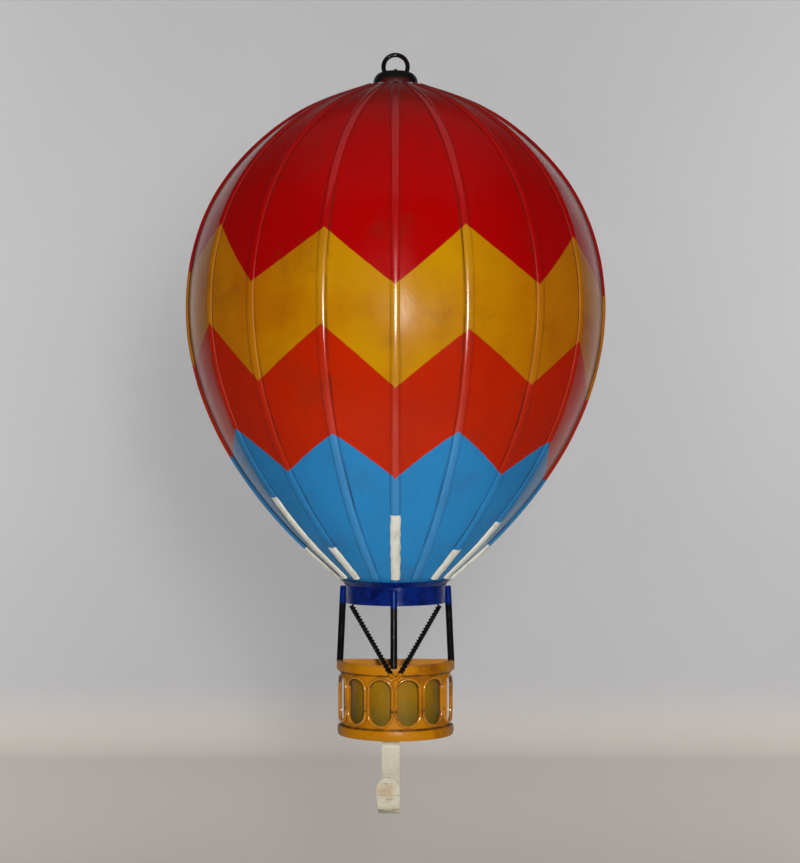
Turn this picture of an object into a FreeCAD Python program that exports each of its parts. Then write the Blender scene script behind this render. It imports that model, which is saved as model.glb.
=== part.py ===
"""Half-round hot-air balloon wall hanger in painted sheet steel, modelled in millimetres.

Frame: the origin is the centre of the hanging ring's eye. +Z is up, +Y points into the wall and -Y to the
viewer, and X = 0 is the middle of the balloon. Everything but the ring lies on or in front of the wall plane.

The envelope is eight curved gores under half-round seam beads, with a cap on the crown and a collar at the
mouth. Three rods and two stays carry a half-round basket, and a strip hook is riveted under its floor.
"""

import math
import os

import FreeCAD
import Part

V = FreeCAD.Vector

# ---- Driving dimensions (mm) ----
WALL_Y = 4.0  # plane of the wall behind the hanger
AXIS_Y = 1.0  # the half-round sections are centred on the line x = 0, y = AXIS_Y
SHEET = 0.8  # thickness of the gores and of the basket's wall
GAP = 0.1  # solder gap between two pieces that are fixed together

# Where the seams right of the middle lie, as shares of the section's half width; the left ones mirror them.
SEAM_SHARES = (0.34, 0.67, 0.875, 1.0)
GORES = 2 * len(SEAM_SHARES)
# Envelope's outer sheet surface from crown to mouth: half width, depth in front of the axis, height.
MERIDIAN = [
    (12.0, 12.0, -11.6),
    (20.0, 19.0, -14.3),
    (51.0, 36.0, -25.0),
    (93.2, 61.5, -52.2),
    (126.6, 81.7, -93.5),
    (144.4, 92.5, -169.5),
    (127.3, 83.0, -245.5),
    (90.6, 63.5, -304.3),
    (58.2, 47.5, -338.5),
    (37.1, 35.4, -357.6),
    (33.0, 33.0, -362.0),
]
STATIONS = 25  # places along a meridian where a gore's section is set
FLATNESS = 0.5  # a gore's section lies this share of the way from the curve to the line between its seams

BEAD_HALF_WIDTH = 3.1
BEAD_HEIGHT = 1.3
EDGE_BEAD_HALF_WIDTH = 2.4  # the two beads along the wall
EDGE_BEAD_HEIGHT = 2.4
BEAD_TOP_Z = -13.2  # where the beads start, beside the cap's rim
BEAD_FOOT_Z = -355.4  # where they stop above the collar's lip
SLEEVE = 0.4  # thickness of the strips folded over the lower ends of some beads
# Bead number, counted from the viewer's left, and the height at which its strip begins.
SLEEVES = {0: -334.0, 1: -298.0, 2: -332.0, 4: -309.5, 6: -333.5, 7: -315.0, 8: -332.0}

RING_R = 8.4  # to the middle of the wire
RING_WIRE_R = 1.7
LUG_HOLE_R = 2.2
LUG_R = 3.5
LUG_THICK = 2.0

CAP_R = 15.4
CAP_FLAT_R = 9.0
CAP_TOP_Z = -3.6
CAP_RIM_Z = -12.2
CAP_SHEET = 1.0
CAP_NOTCH = (10.9, -4.9)  # half width and front end of the opening that the ring swings in

COLLAR_R = 35.4
COLLAR_SHEET = 1.0
COLLAR_TOP_Z = -361.0
COLLAR_FOOT_Z = -373.5
LIP = 3.4  # how far the collar's lip flares outward and upward

ROD_R = 2.4
FRONT_ROD_X = -1.1
FRONT_ROD_LAP = 1.5  # how far the front rod reaches below the basket's top
SIDE_ROD_TOP_X = 36.4  # the side rods lean outward from here to the basket's top
ROD_TOP_Z = -362.2
STAY_R = 1.65
STAY_ANGLE = 60.0  # degrees from the front, where a stay meets the collar
STAY_TOP_Z = -374.7  # just under the collar's lower edge
STAY_KNEE = (7.2, -412.0)  # half width and height of the bend over the basket's rim
STAY_FOOT_Z = -421.5

BASKET_TOP_Z = -413.7
BASKET_FOOT_Z = -465.0
BASKET_R = 38.4
BAND_R = 40.6
BAND_HEIGHT = 7.2
LINER_R = 31.0
OVALS = 6
OVAL_PITCH = 29.0  # degrees between two openings
OVAL_TURN = -1.2  # degrees that the row of openings is turned to the viewer's left
OVAL_HALF = (7.8, 15.4)  # half width and half height of an opening; its sides are straight, its ends round
RIM_WIRE_R = 1.0
RIM_BENDS = 5  # bends in the wire at each end of an opening
RIM_LIFT = 0.15  # how far the wire's bends stand off the basket wall
RIM_JOINT = 0.45  # half of the gap where the ends of a rim's wire meet
RIM_JOINT_DROP = 5.6  # how far the gap is below the middle of the opening

HOOK_X = -3.1
HOOK_WIDTH = 12.0
HOOK_THICK = 1.5
HOOK_BACK_Y = -10.0  # where the strip starts under the floor
HOOK_DROP_Y = -38.75  # middle of the hanging part
HOOK_FOOT_Z = -512.4
HOOK_TURN_R = 7.0
HOOK_TIP_Z = -487.0
HOOK_TIP_R = 7.9
HOOK_FOOT_SPREAD = 2.3  # how much wider than above the strip is at its lowest point
HOOK_SPREAD_Z = -496.0  # where it starts to widen
RIVET_R = 1.6
RIVET_HEAD_R = 3.0
RIVET_HEAD = 1.1
RIVET_YS = (-14.0, -24.0)

SOLDER_TOP = (2.2, -425.0)  # radius and height of the drop under the stays, and of its lower end
SOLDER_FOOT = (0.7, -431.0)

FAR = 1000.0  # larger than the whole object


# ---- The envelope's surface ----


def meridian_curve():
    """Curve through MERIDIAN; its coordinates are half width, depth and height."""
    curve = Part.BSplineCurve()
    curve.interpolate([V(*p) for p in MERIDIAN])
    return curve


CURVE = meridian_curve()


def parameter_at(z):
    """The curve's parameter at height z."""
    low, high = CURVE.FirstParameter, CURVE.LastParameter
    for _ in range(50):
        middle = (low + high) / 2
        if CURVE.value(middle).z > z:
            low = middle
        else:
            high = middle
    return low


def surface_frame(s, t):
    """Point on the sheet's outer surface, its outward normal and the direction across the gores.

    t is the angle round the section: 0 at the viewer's right, pi / 2 at the front.
    """
    p, d = CURVE.value(s), CURVE.tangent(s)[0]
    point = V(p.x * math.cos(t), AXIS_Y - p.y * math.sin(t), p.z)
    down = V(d.x * math.cos(t), -d.y * math.sin(t), d.z)
    across = V(-p.x * math.sin(t), -p.y * math.cos(t), 0).normalize()
    normal = down.cross(across).normalize()
    outward = V(p.y * math.cos(t), -p.x * math.sin(t), 0)
    return point, (normal if normal.dot(outward) > 0 else normal * -1), across


# Angles of the seams, from the viewer's left to the right. The first and last are by the wall.
SEAMS = [math.acos(share) for share in [-x for x in reversed(SEAM_SHARES)] + [0.0] + list(SEAM_SHARES)]


def grid_surface(grid):
    surface = Part.BSplineSurface()
    surface.interpolate(grid)
    return surface


def patch_solid(outer, inner):
    """Closed solid between two grids of points of the same size."""
    surfaces = [grid_surface(outer), grid_surface(inner)]
    faces = [s.toShape() for s in surfaces]
    bounds = [s.bounds() for s in surfaces]
    for end in (0, 1):
        first, second = [s.uIso(b[end]) for s, b in zip(surfaces, bounds)]
        faces.append(first.makeRuledSurface(second).toShape())
        first, second = [s.vIso(b[2 + end]) for s, b in zip(surfaces, bounds)]
        faces.append(first.makeRuledSurface(second).toShape())
    shell = Part.Shell(faces)
    shell.sewShape()
    solid = Part.Solid(Part.Shell(shell.Faces) if shell.ShapeType != "Shell" else shell)
    if solid.Volume < 0:
        solid.reverse()
    return solid


def stations(top_z, foot_z, count):
    first, last = parameter_at(top_z), parameter_at(foot_z)
    return [first + (last - first) * i / (count - 1) for i in range(count)]


def flattened(number, s, t):
    """Point of a gore's outer surface, flatter across than the section, and the section's normal there."""
    point, normal = surface_frame(s, t)[:2]
    share = (SEAMS[number] - t) / (SEAMS[number] - SEAMS[number + 1])
    if 0 < share < 1:
        first, last = [surface_frame(s, SEAMS[k])[0] for k in (number, number + 1)]
        point += (first + (last - first) * share - point) * FLATNESS
    return point, normal


def gore(number):
    """One curved panel between two seams; the outer two reach back to the wall."""
    outer, inner = [], []
    columns = 9
    for s in stations(MERIDIAN[0][2], MERIDIAN[-1][2], STATIONS):
        a, b = CURVE.value(s).x, CURVE.value(s).y
        back = math.asin((WALL_Y - AXIS_Y) / b)
        half_gap = GAP / max(a, b)
        left = math.pi + back if number == 0 else SEAMS[number] - half_gap
        right = -back if number == GORES - 1 else SEAMS[number + 1] + half_gap
        frames = [flattened(number, s, left + (right - left) * i / (columns - 1)) for i in range(columns)]
        outer.append([p for p, n in frames])
        row = [p - n * SHEET for p, n in frames]
        for end in (0, -1):
            row[end].y = min(row[end].y, WALL_Y)
        inner.append(row)
    return patch_solid(outer, inner)


def bead_half_width(number, s):
    """Beads narrow towards the crown, where they crowd together."""
    full = EDGE_BEAD_HALF_WIDTH if number in (0, GORES) else BEAD_HALF_WIDTH
    share = min(1.0, CURVE.value(s).x / 60.0)
    return full * (0.66 + 0.34 * share)


ARC = [math.pi * i / 8 for i in range(9)]  # round a bead's section


def bead_section(number, s, side_grow, height_grow):
    p, n, w = surface_frame(s, SEAMS[number])
    half, edge = bead_half_width(number, s), 0.25
    height = (EDGE_BEAD_HEIGHT if number in (0, GORES) else BEAD_HEIGHT) - edge + height_grow
    return [p + n * (GAP + edge + height * math.sin(f)) + w * ((half + side_grow) * math.cos(f)) for f in ARC]


def seam_bead(number):
    """Half-round strip that covers a seam."""
    outer, inner = [], []
    for s in stations(BEAD_TOP_Z, BEAD_FOOT_Z, STATIONS):
        outer.append(bead_section(number, s, 0, 0))
        p, n, w = surface_frame(s, SEAMS[number])
        half = bead_half_width(number, s)
        inner.append([p + n * GAP + w * (half * math.cos(f)) for f in ARC])
    return patch_solid(outer, inner)


def bead_sleeve(number, top_z):
    """Thin strip folded over the lower end of a bead."""
    outer, inner = [], []
    for s in stations(top_z, BEAD_FOOT_Z, 7):
        inner.append(bead_section(number, s, GAP, GAP))
        outer.append(bead_section(number, s, GAP + SLEEVE, GAP + SLEEVE))
    return patch_solid(outer, inner)


# ---- Half-round pieces ----

SIDE_Y = WALL_Y - 2 * ROD_R - 0.2 - 2 * GAP  # the collar and the basket end here, in front of the side rods


def in_front_of(shape, y):
    """The part of shape on the viewer's side of the plane at y."""
    return shape.cut(Part.makeBox(2 * FAR, FAR, 2 * FAR, V(-FAR, y, -FAR)))


def turned(points, back_y):
    """Solid of revolution of the closed outline points, (radius, height), cut off at back_y."""
    outline = Part.makePolygon([V(r, AXIS_Y, z) for r, z in points + points[:1]])
    whole = Part.Face(outline).revolve(V(0, AXIS_Y, 0), V(0, 0, 1), 360)
    return in_front_of(whole, back_y)


def tube_section(outer_r, inner_r, low_z, high_z):
    return [(inner_r, low_z), (outer_r, low_z), (outer_r, high_z), (inner_r, high_z)]


# ---- Crown ----


def cap_outline(inset):
    """Outline of the cap from the rim to the middle, moved inward by inset."""
    bend = math.radians(50)
    rise = CAP_TOP_Z - CAP_RIM_Z
    mid = (CAP_FLAT_R + (CAP_R - CAP_FLAT_R) * math.sin(bend), CAP_RIM_Z + rise * math.cos(bend) + 0.3)
    return [
        (CAP_R - inset, CAP_RIM_Z),
        (mid[0] - inset, mid[1] - inset / 2),
        (CAP_FLAT_R, CAP_TOP_Z - inset),
        (0.0, CAP_TOP_Z - inset),
    ]


def cap_body(inset):
    """Filled dome under the cap's surface, moved inward by inset."""
    rim, mid, flat, top = [V(r, AXIS_Y, z) for r, z in cap_outline(inset)]
    axis_foot = V(0, AXIS_Y, CAP_RIM_Z)
    edges = [
        Part.LineSegment(axis_foot, rim).toShape(),
        Part.Arc(rim, mid, flat).toShape(),
        Part.LineSegment(flat, top).toShape(),
        Part.LineSegment(top, axis_foot).toShape(),
    ]
    return Part.Face(Part.Wire(edges)).revolve(V(0, AXIS_Y, 0), V(0, 0, 1), 360)


def crown_cap():
    shell = in_front_of(cap_body(0).cut(cap_body(CAP_SHEET)), WALL_Y)
    half, front = CAP_NOTCH
    return shell.cut(Part.makeBox(2 * half, FAR, 20, V(-half, front, CAP_RIM_Z - 10)))


def hanging_ring():
    return Part.makeTorus(RING_R, RING_WIRE_R, V(0, 0, 0), V(0, 1, 0))


def ring_lug():
    """Eye plate under the cap; the ring turns in its hole."""
    left = -LUG_THICK / 2
    eye = Part.makeCylinder(LUG_R, LUG_THICK, V(left, 0, -RING_R), V(1, 0, 0))
    arm = Part.makePolygon(
        [V(left, 0, -RING_R - LUG_R), V(left, -9.6, -8.2), V(left, -9.6, -2), V(left, -5.2, -2), V(left, -0.6, -5.0)]
        + [V(left, 0, -RING_R - LUG_R)]
    )
    plate = eye.fuse(Part.Face(arm).extrude(V(LUG_THICK, 0, 0)))
    hole = Part.makeCylinder(LUG_HOLE_R, 3 * LUG_THICK, V(3 * left, 0, -RING_R), V(1, 0, 0))
    under_cap = cap_body(CAP_SHEET + 0.02)
    below = Part.makeBox(2 * FAR, 2 * FAR, 20, V(-FAR, -FAR, CAP_RIM_Z - 20))
    notch = Part.makeBox(2 * FAR, FAR, 30, V(-FAR, CAP_NOTCH[1] + GAP, CAP_RIM_Z - 10))
    return plate.common(under_cap.fuse([below, notch])).cut(hole).removeSplitter()


# ---- Mouth, rods and stays ----


def mouth_collar():
    top = COLLAR_R + LIP
    outline = [
        (COLLAR_R - COLLAR_SHEET, COLLAR_FOOT_Z),
        (COLLAR_R, COLLAR_FOOT_Z),
        (COLLAR_R, COLLAR_TOP_Z),
        (top, COLLAR_TOP_Z + LIP),
        (top - COLLAR_SHEET / 2, COLLAR_TOP_Z + LIP + COLLAR_SHEET / 2),
        (COLLAR_R - COLLAR_SHEET, COLLAR_TOP_Z + COLLAR_SHEET / 2),
    ]
    return turned(outline, SIDE_Y)


def rod(start, end, radius):
    way = end - start
    return Part.makeCylinder(radius, way.Length, start, way)


def side_rod(side):
    """Rod from behind the collar's end to behind the top band's end; side is -1 at the viewer's left."""
    y = WALL_Y - ROD_R - 0.2
    corner = side * (BASKET_R + 0.4)
    top, bend = V(side * SIDE_ROD_TOP_X, y, ROD_TOP_Z), V(corner, y, BASKET_TOP_Z)
    lower = rod(bend, V(corner, y, BASKET_TOP_Z - BAND_HEIGHT), ROD_R)
    return rod(top, bend, ROD_R).fuse([Part.makeSphere(ROD_R, bend), lower]).removeSplitter()


def front_rod():
    """Rod from the collar to the outside of the basket's top band."""
    top = V(FRONT_ROD_X, AXIS_Y - COLLAR_R - ROD_R - 2 * GAP, ROD_TOP_Z)
    by_band = V(FRONT_ROD_X, AXIS_Y - BAND_R - ROD_R - 2 * GAP, BASKET_TOP_Z)
    return rod(top, by_band + (by_band - top).normalize() * FRONT_ROD_LAP, ROD_R)


def stay(side):
    """Wire from under the collar to the front of the basket, bent to lie against the outside of the band."""
    angle = math.radians(STAY_ANGLE)
    r = COLLAR_R - COLLAR_SHEET / 2
    top = V(side * r * math.sin(angle), AXIS_Y - r * math.cos(angle), STAY_TOP_Z)
    by_band = BAND_R + STAY_R + 2 * GAP
    lower = []
    for x, z in (STAY_KNEE, (STAY_R + GAP, STAY_FOOT_Z)):
        lower.append(V(side * x, AXIS_Y - math.sqrt(by_band ** 2 - x ** 2), z))
    knee, foot = lower
    bend = Part.makeSphere(STAY_R, knee)
    return rod(top, knee, STAY_R).fuse([bend, rod(knee, foot, STAY_R)]).removeSplitter()


# ---- Basket ----

OVAL_Z = (BASKET_TOP_Z + BASKET_FOOT_Z) / 2


def around(angle, radius, z):
    """Point on a circle about the basket's axis, angle in radians from the front."""
    return V(radius * math.sin(angle), AXIS_Y - radius * math.cos(angle), z)


OVAL_ANGLES = [math.radians(OVAL_TURN + OVAL_PITCH * (i - (OVALS - 1) / 2)) for i in range(OVALS)]


def oval_cutter(angle):
    """Bar with straight sides and round ends, along the radius at angle, for one opening."""
    radius, straight = OVAL_HALF[0], OVAL_HALF[1] - OVAL_HALF[0]
    signs = ((1, -1), (1, 1), (-1, 1), (-1, -1))
    a, b, c, d = [V(i * straight, j * radius, 0) for i, j in signs]
    edges = [
        Part.Arc(a, V(OVAL_HALF[1], 0, 0), b).toShape(),
        Part.LineSegment(b, c).toShape(),
        Part.Arc(c, V(-OVAL_HALF[1], 0, 0), d).toShape(),
        Part.LineSegment(d, a).toShape(),
    ]
    bar = Part.Face(Part.Wire(edges)).extrude(V(0, 0, 20))
    bar.rotate(V(0, 0, 0), V(0, 1, 0), -90)  # long axis up, length towards -X
    bar.rotate(V(0, 0, 0), V(0, 0, 1), 90 + math.degrees(angle))
    bar.translate(around(angle, BASKET_R - 10, OVAL_Z))
    return bar


def basket_wall():
    tube = turned(tube_section(BASKET_R, BASKET_R - SHEET, BASKET_FOOT_Z, BASKET_TOP_Z), SIDE_Y)
    return tube.cut([oval_cutter(a) for a in OVAL_ANGLES])


def basket_band(foot_z):
    """Strip with a crowned outer face."""
    inner, edge = BASKET_R + GAP, BAND_R - 0.7
    top_z, middle = foot_z + BAND_HEIGHT, foot_z + BAND_HEIGHT / 2
    a, b, c, d = [V(r, AXIS_Y, z) for r, z in tube_section(edge, inner, foot_z, top_z)]
    edges = [
        Part.LineSegment(a, b).toShape(),
        Part.Arc(b, V(BAND_R, AXIS_Y, middle), c).toShape(),
        Part.LineSegment(c, d).toShape(),
        Part.LineSegment(d, a).toShape(),
    ]
    ring = Part.Face(Part.Wire(edges)).revolve(V(0, AXIS_Y, 0), V(0, 0, 1), 360)
    return in_front_of(ring, SIDE_Y)


def basket_liner():
    """Curved sheet that shows through the openings."""
    section = tube_section(LINER_R, LINER_R - SHEET, BASKET_FOOT_Z + SHEET + GAP, BASKET_TOP_Z - 3)
    return turned(section, WALL_Y - SHEET - GAP)


def basket_back():
    half = BASKET_R - ROD_R + 0.2
    height = BASKET_TOP_Z - BASKET_FOOT_Z
    return Part.makeBox(2 * half, SHEET, height, V(-half, WALL_Y - SHEET, BASKET_FOOT_Z))


def rivet_shafts(radius):
    return [Part.makeCylinder(radius, 20, V(HOOK_X, y, BASKET_FOOT_Z - 10)) for y in RIVET_YS]


def basket_floor():
    radius, top_z = BASKET_R - SHEET - GAP, BASKET_FOOT_Z + SHEET
    outline = [(0, BASKET_FOOT_Z), (radius, BASKET_FOOT_Z), (radius, top_z), (0, top_z)]
    return turned(outline, WALL_Y - SHEET - GAP).cut(rivet_shafts(RIVET_R + 0.05))


def eased_path(points):
    """Straight runs between the points, joined by an arc at each inner point that is tangent to both runs."""
    edges = []
    here = points[0]
    for before, corner, after in zip(points, points[1:], points[2:]):
        back, on = before - corner, after - corner
        reach = 0.45 * min(back.Length, on.Length)
        back.normalize()
        on.normalize()
        half = back.getAngle(on) / 2
        inward = (back + on).normalize() * (reach * (1 - math.sin(half)) / math.cos(half))
        edges.append(Part.LineSegment(here, corner + back * reach).toShape())
        edges.append(Part.Arc(corner + back * reach, corner + inward, corner + on * reach).toShape())
        here = corner + on * reach
    edges.append(Part.LineSegment(here, points[-1]).toShape())
    return Part.Wire(edges)


def oval_rim(angle):
    """Wire bent round one opening; its ends almost meet on the side towards the middle."""
    r = BASKET_R + RIM_WIRE_R + RIM_LIFT
    wide, straight = OVAL_HALF[0] + RIM_WIRE_R, OVAL_HALF[1] - OVAL_HALF[0]
    side = -1 if angle > 0 else 1  # the side of the opening where the ends meet
    turn = math.pi / RIM_BENDS
    outline = [(wide, -RIM_JOINT_DROP - RIM_JOINT)]
    for end in (-1, 1):
        for i in range(RIM_BENDS):
            a = turn * (i + 0.5)
            out = wide / math.cos(turn / 2)
            outline.append((-end * out * math.cos(a), end * (straight + out * math.sin(a))))
    outline.append((wide, -RIM_JOINT_DROP + RIM_JOINT))
    points = [around(angle + side * across / r, r, OVAL_Z + up) for across, up in outline]
    circle = Part.Wire(Part.Circle(points[0], points[1] - points[0], RIM_WIRE_R).toShape())
    return eased_path(points).makePipeShell([circle], True, False)


def solder_drop():
    """Drop of solder that ran down between the two middle openings from the foot of the stays."""
    y = AXIS_Y - BASKET_R
    r, z = SOLDER_TOP
    foot_r, foot_z = SOLDER_FOOT
    drop = Part.makeSphere(r, V(0, y, z)).fuse(Part.makeCone(foot_r, r * 0.98, z - foot_z, V(0, y, foot_z)))
    wall = Part.makeCylinder(BASKET_R + GAP, FAR, V(0, AXIS_Y, -FAR))
    return drop.cut([wall] + [oval_rim(angle) for angle in OVAL_ANGLES]).removeSplitter()


# ---- Hook ----


def hook_side():
    """The strip seen from the side: under the floor, down, round and up to the tip."""
    top = BASKET_FOOT_Z - 0.05
    half = HOOK_THICK / 2
    bend = 3.0
    turn_z = HOOK_FOOT_Z + half + HOOK_TURN_R
    front_y = HOOK_DROP_Y - 2 * HOOK_TURN_R
    line = [
        Part.LineSegment(V(0, HOOK_BACK_Y, top - half), V(0, HOOK_DROP_Y + bend, top - half)).toShape(),
        Part.Arc(
            V(0, HOOK_DROP_Y + bend, top - half),
            V(0, HOOK_DROP_Y + bend * (1 - math.sin(math.pi / 4)), top - half - bend * (1 - math.cos(math.pi / 4))),
            V(0, HOOK_DROP_Y, top - half - bend),
        ).toShape(),
        Part.LineSegment(V(0, HOOK_DROP_Y, top - half - bend), V(0, HOOK_DROP_Y, turn_z)).toShape(),
        Part.Arc(
            V(0, HOOK_DROP_Y, turn_z),
            V(0, HOOK_DROP_Y - HOOK_TURN_R, turn_z - HOOK_TURN_R),
            V(0, front_y, turn_z),
        ).toShape(),
        Part.LineSegment(V(0, front_y, turn_z), V(0, front_y, HOOK_TIP_Z)).toShape(),
    ]
    half_width = 2 * HOOK_WIDTH
    low = top - HOOK_THICK
    corners = [(-half_width, top), (half_width, top), (half_width, low), (-half_width, low)]
    section = Part.makePolygon([V(x, HOOK_BACK_Y, z) for x, z in corners + corners[:1]])
    return Part.Wire(line).makePipeShell([section], True, False)


def mask(outline, front_y, back_y):
    """Prism from front_y to back_y of an outline drawn as (x, z) points."""
    face = Part.Face(Part.makePolygon([V(x, front_y, z) for x, z in outline + outline[:1]]))
    return face.extrude(V(0, back_y - front_y, 0))


def hook_strip():
    """The strip keeps its width down to the turn, then widens to the left into a round tip."""
    middle_y = HOOK_DROP_Y - HOOK_TURN_R
    left, right = HOOK_X - HOOK_WIDTH / 2, HOOK_X + HOOK_WIDTH / 2
    foot_left = left - HOOK_FOOT_SPREAD
    tip_x, tip_z = right - HOOK_TIP_R, HOOK_TIP_Z - HOOK_TIP_R
    low = HOOK_FOOT_Z - 1
    foot = [(right, low), (foot_left, low), (foot_left, HOOK_FOOT_Z)]
    behind = [(left, 0), (right, 0)] + foot + [(left, HOOK_SPREAD_Z)]
    ahead = [(tip_x - HOOK_TIP_R, tip_z), (right, tip_z)] + foot
    tip = Part.makeCylinder(HOOK_TIP_R, -middle_y, V(tip_x, middle_y, tip_z), V(0, -1, 0))
    allowed = mask(behind, middle_y, 0).fuse([mask(ahead, 2 * middle_y, middle_y), tip])
    return hook_side().common(allowed).cut(rivet_shafts(RIVET_R + 0.05)).removeSplitter()


def hook_rivets():
    """Two rivets through the strip and the floor, with a head on each side."""
    low, high = BASKET_FOOT_Z - 0.05 - HOOK_THICK, BASKET_FOOT_Z + SHEET
    rivets = []
    for y in RIVET_YS:
        shaft = Part.makeCylinder(RIVET_R, high - low, V(HOOK_X, y, low))
        heads = []
        for z, up in ((low, -1), (high, 1)):
            head = Part.makeCone(RIVET_HEAD_R, RIVET_HEAD_R * 0.5, RIVET_HEAD, V(HOOK_X, y, z), V(0, 0, up))
            heads.append(head)
        rivets.append(shaft.fuse(heads).removeSplitter())
    return Part.makeCompound(rivets)


# ---- All the pieces by name ----


def pieces():
    made = {
        "hanging_ring": hanging_ring(),
        "ring_lug": ring_lug(),
        "crown_cap": crown_cap(),
        "mouth_collar": mouth_collar(),
        "front_rod": front_rod(),
        "basket_wall": basket_wall(),
        "basket_top_band": basket_band(BASKET_TOP_Z - BAND_HEIGHT),
        "basket_bottom_band": basket_band(BASKET_FOOT_Z),
        "basket_liner": basket_liner(),
        "basket_back_plate": basket_back(),
        "basket_floor": basket_floor(),
        "solder_drop": solder_drop(),
        "hook_strip": hook_strip(),
        "hook_rivets": hook_rivets(),
    }
    for side, word in ((-1, "left"), (1, "right")):
        made[f"{word}_rod"] = side_rod(side)
        made[f"{word}_stay"] = stay(side)
    for number in range(GORES):
        made[f"gore_{number + 1}"] = gore(number)
    for number in range(GORES + 1):
        made[f"seam_bead_{number + 1}"] = seam_bead(number)
    for number, top_z in SLEEVES.items():
        made[f"bead_sleeve_{number + 1}"] = bead_sleeve(number, top_z)
    for number, angle in enumerate(OVAL_ANGLES):
        made[f"oval_rim_{number + 1}"] = oval_rim(angle)
    return made


def main():
    os.makedirs("parts", exist_ok=True)
    for name, shape in pieces().items():
        good = shape.isValid() and all(s.isClosed() for s in shape.Shells)
        print(f"{name:20s} {len(shape.Solids)} solid(s) {shape.Volume:10.1f} mm3 {'' if good else 'NOT VALID'}")
        shape.exportStep(f"parts/{name}.step")


main()
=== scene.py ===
"""Looks of the half-round balloon wall hanger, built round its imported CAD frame. Everything is in metres.

Shapes come from the frame: the envelope's sections are measured on the CAD gores, and every other piece
is placed from its own CAD node. +Z is up, -Y is towards the viewer, and the wall plane is just behind y = 0.
"""

import math

import bmesh
import bpy
import numpy as np
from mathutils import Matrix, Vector, noise
from mathutils.bvhtree import BVHTree


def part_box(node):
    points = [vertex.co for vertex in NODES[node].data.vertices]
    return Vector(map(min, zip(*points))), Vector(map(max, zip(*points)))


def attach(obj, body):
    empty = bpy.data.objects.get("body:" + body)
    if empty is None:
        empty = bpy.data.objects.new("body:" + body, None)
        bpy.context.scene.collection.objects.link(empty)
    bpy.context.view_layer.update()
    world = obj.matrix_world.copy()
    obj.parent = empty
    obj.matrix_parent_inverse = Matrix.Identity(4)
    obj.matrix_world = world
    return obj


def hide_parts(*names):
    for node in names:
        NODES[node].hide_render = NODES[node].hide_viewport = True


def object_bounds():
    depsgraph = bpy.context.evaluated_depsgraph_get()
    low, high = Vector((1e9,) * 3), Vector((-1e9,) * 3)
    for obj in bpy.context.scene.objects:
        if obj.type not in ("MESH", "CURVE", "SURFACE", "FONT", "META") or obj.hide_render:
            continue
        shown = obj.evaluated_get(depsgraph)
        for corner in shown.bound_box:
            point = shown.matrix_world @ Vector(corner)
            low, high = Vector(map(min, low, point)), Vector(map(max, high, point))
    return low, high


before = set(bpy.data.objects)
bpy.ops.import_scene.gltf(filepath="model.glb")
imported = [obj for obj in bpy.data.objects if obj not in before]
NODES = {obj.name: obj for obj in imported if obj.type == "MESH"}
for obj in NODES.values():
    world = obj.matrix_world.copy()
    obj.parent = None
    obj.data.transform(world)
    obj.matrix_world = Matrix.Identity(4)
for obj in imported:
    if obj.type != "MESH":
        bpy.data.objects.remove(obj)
CAD_BOX = [list(corner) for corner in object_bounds()]
MM = 0.001

# ---- Camera ----

VIEW_DISTANCE = 1.40  # from the wall plane to the lens
LENS = 83.4
SENSOR = 36.0
EYE_Z = -0.2545  # the lens is level with this height
EYE_X = 0.0031


def make_camera():
    data = bpy.data.cameras.new("camera")
    data.lens = LENS
    data.sensor_width = SENSOR
    data.sensor_fit = "AUTO"
    data.clip_end = 20
    camera = bpy.data.objects.new("camera", data)
    camera.location = (EYE_X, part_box("basket_back_plate")[1].y - VIEW_DISTANCE, EYE_Z)
    camera.rotation_euler = (math.radians(90), 0, 0)
    bpy.context.scene.collection.objects.link(camera)
    bpy.context.scene.camera = camera


make_camera()

# ---- Mesh helpers ----


def new_mesh(name, points, faces, smooth=True):
    data = bpy.data.meshes.new(name)
    data.from_pydata([tuple(p) for p in points], [], faces)
    data.validate()
    data.polygons.foreach_set("use_smooth", [smooth] * len(data.polygons))
    obj = bpy.data.objects.new(name, data)
    bpy.context.scene.collection.objects.link(obj)
    return obj


def tidy_normals(obj):
    mesh = bmesh.new()
    mesh.from_mesh(obj.data)
    bmesh.ops.recalc_face_normals(mesh, faces=mesh.faces)
    mesh.to_mesh(obj.data)
    mesh.free()
    return obj


def grid_faces(rows, columns, wrap=False):
    faces = []
    across = columns if wrap else columns - 1
    for r in range(rows - 1):
        for c in range(across):
            d = (c + 1) % columns
            faces.append((r * columns + c, r * columns + d, (r + 1) * columns + d, (r + 1) * columns + c))
    return faces


def closed_faces(turns, sides):
    """Faces of a surface that closes both ways, such as a ring of wire."""
    faces = []
    for i in range(turns):
        for j in range(sides):
            n, m = (i + 1) % turns, (j + 1) % sides
            faces.append((i * sides + j, n * sides + j, n * sides + m, i * sides + m))
    return faces


def tube(name, sections):
    """Closed solid through rings of points; the two ends are capped."""
    rows, columns = len(sections), len(sections[0])
    points = [p for ring in sections for p in ring]
    faces = grid_faces(rows, columns, wrap=True)
    faces.append(tuple(range(columns)))
    faces.append(tuple(reversed(range((rows - 1) * columns, rows * columns))))
    return tidy_normals(new_mesh(name, points, faces))


def sharpen(obj, degrees=38):
    """Smooth shading with crisp edges where faces meet at more than this angle."""
    mesh = bmesh.new()
    mesh.from_mesh(obj.data)
    for edge in mesh.edges:
        edge.smooth = edge.calc_face_angle(0.0) < math.radians(degrees)
    mesh.to_mesh(obj.data)
    mesh.free()
    return obj


def bevel(obj, width, segments=3, degrees=35):
    m = obj.modifiers.new("bevel", "BEVEL")
    m.width = width
    m.segments = segments
    m.limit_method = "ANGLE"
    m.angle_limit = math.radians(degrees)
    m.harden_normals = False
    return obj


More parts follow.
